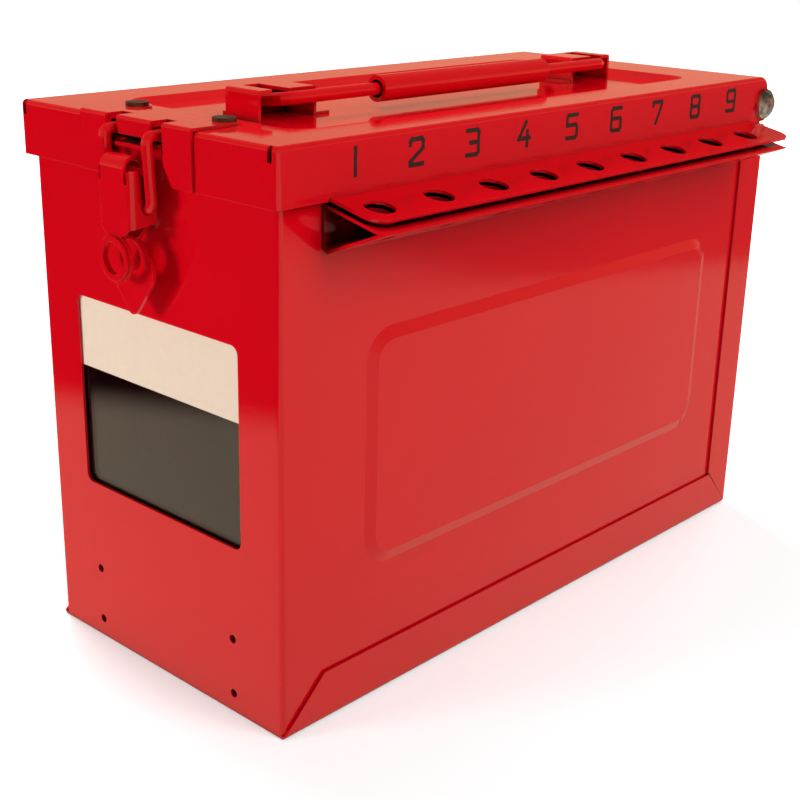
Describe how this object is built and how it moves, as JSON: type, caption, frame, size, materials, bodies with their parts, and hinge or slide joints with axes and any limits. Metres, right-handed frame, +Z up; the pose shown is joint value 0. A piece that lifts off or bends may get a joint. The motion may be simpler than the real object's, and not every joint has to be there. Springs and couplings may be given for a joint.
{
  "type": "group lockout box",
  "caption": "Portable steel group lockout box with hinged lid, over-centre latch, display window, folding handle and a front shelf of padlock holes.",
  "frame": {"origin": "middle of the base's underside, on the surface the box stands on", "axes": "+X from the latch end to the hinge end, +Y from the padlock shelf's side to the back, +Z up"},
  "size_m": [0.2818, 0.1491, 0.1967],
  "materials": {
    "red_enamel": "gloss",
    "bare_steel": "satin",
    "gasket_rubber": "matte",
    "clear_plastic": "clear",
    "card": "matte"
  },
  "bodies": {
    "box": {"body_wrap": "red_enamel", "base_strip": "red_enamel", "rim_flange": "red_enamel", "hinge_end_plate": "red_enamel", "hinge_barrel": "red_enamel", "hinge_pin": "bare_steel", "hinge_washer": "bare_steel", "body_lock_shelf": "red_enamel", "latch_catch": "red_enamel", "hasp_plate": "red_enamel", "window_frame": "red_enamel", "window_pane": "clear_plastic", "window_card": "card"},
    "lid": {"lid_shell": "red_enamel", "lid_gasket": "gasket_rubber", "latch_plate": "red_enamel", "latch_plate_rivets": "bare_steel", "handle_bracket_left": "red_enamel", "handle_bracket_right": "red_enamel"},
    "bail": {"latch_bail": "red_enamel"},
    "lever": {"latch_lever": "red_enamel"},
    "handle": {"handle_wire": "red_enamel"},
    "grip": {"handle_grip": "red_enamel"}
  },
  "joints": [
    {"name": "lid_hinge", "type": "hinge", "parent": "box", "child": "lid", "pos_m": [0.1267, 0, 0.1774], "axis": [0, 1, 0], "range_deg": [0, 105]},
    {"name": "latch_bail_hinge", "type": "hinge", "parent": "lid", "child": "bail", "pos_m": [-0.13535, 0, 0.18495], "axis": [0, 1, 0], "range_deg": [0, 100]},
    {"name": "latch_lever_hinge", "type": "hinge", "parent": "bail", "child": "lever", "pos_m": [-0.14025, 0, 0.16345], "axis": [0, 1, 0], "range_deg": [0, 40]},
    {"name": "handle_hinge", "type": "hinge", "parent": "lid", "child": "handle", "pos_m": [-0.0056, -0.0001, 0.1902], "axis": [-1, 0, 0], "range_deg": [0, 82]},
    {"name": "grip_spin", "type": "hinge", "parent": "handle", "child": "grip", "pos_m": [-0.0056, -0.0153, 0.1923], "axis": [1, 0, 0], "continuous": true}
  ],
  "couplings": [
    {"joint": "latch_lever_hinge", "follows": "latch_bail_hinge", "ratio": 0.4}
  ]
}
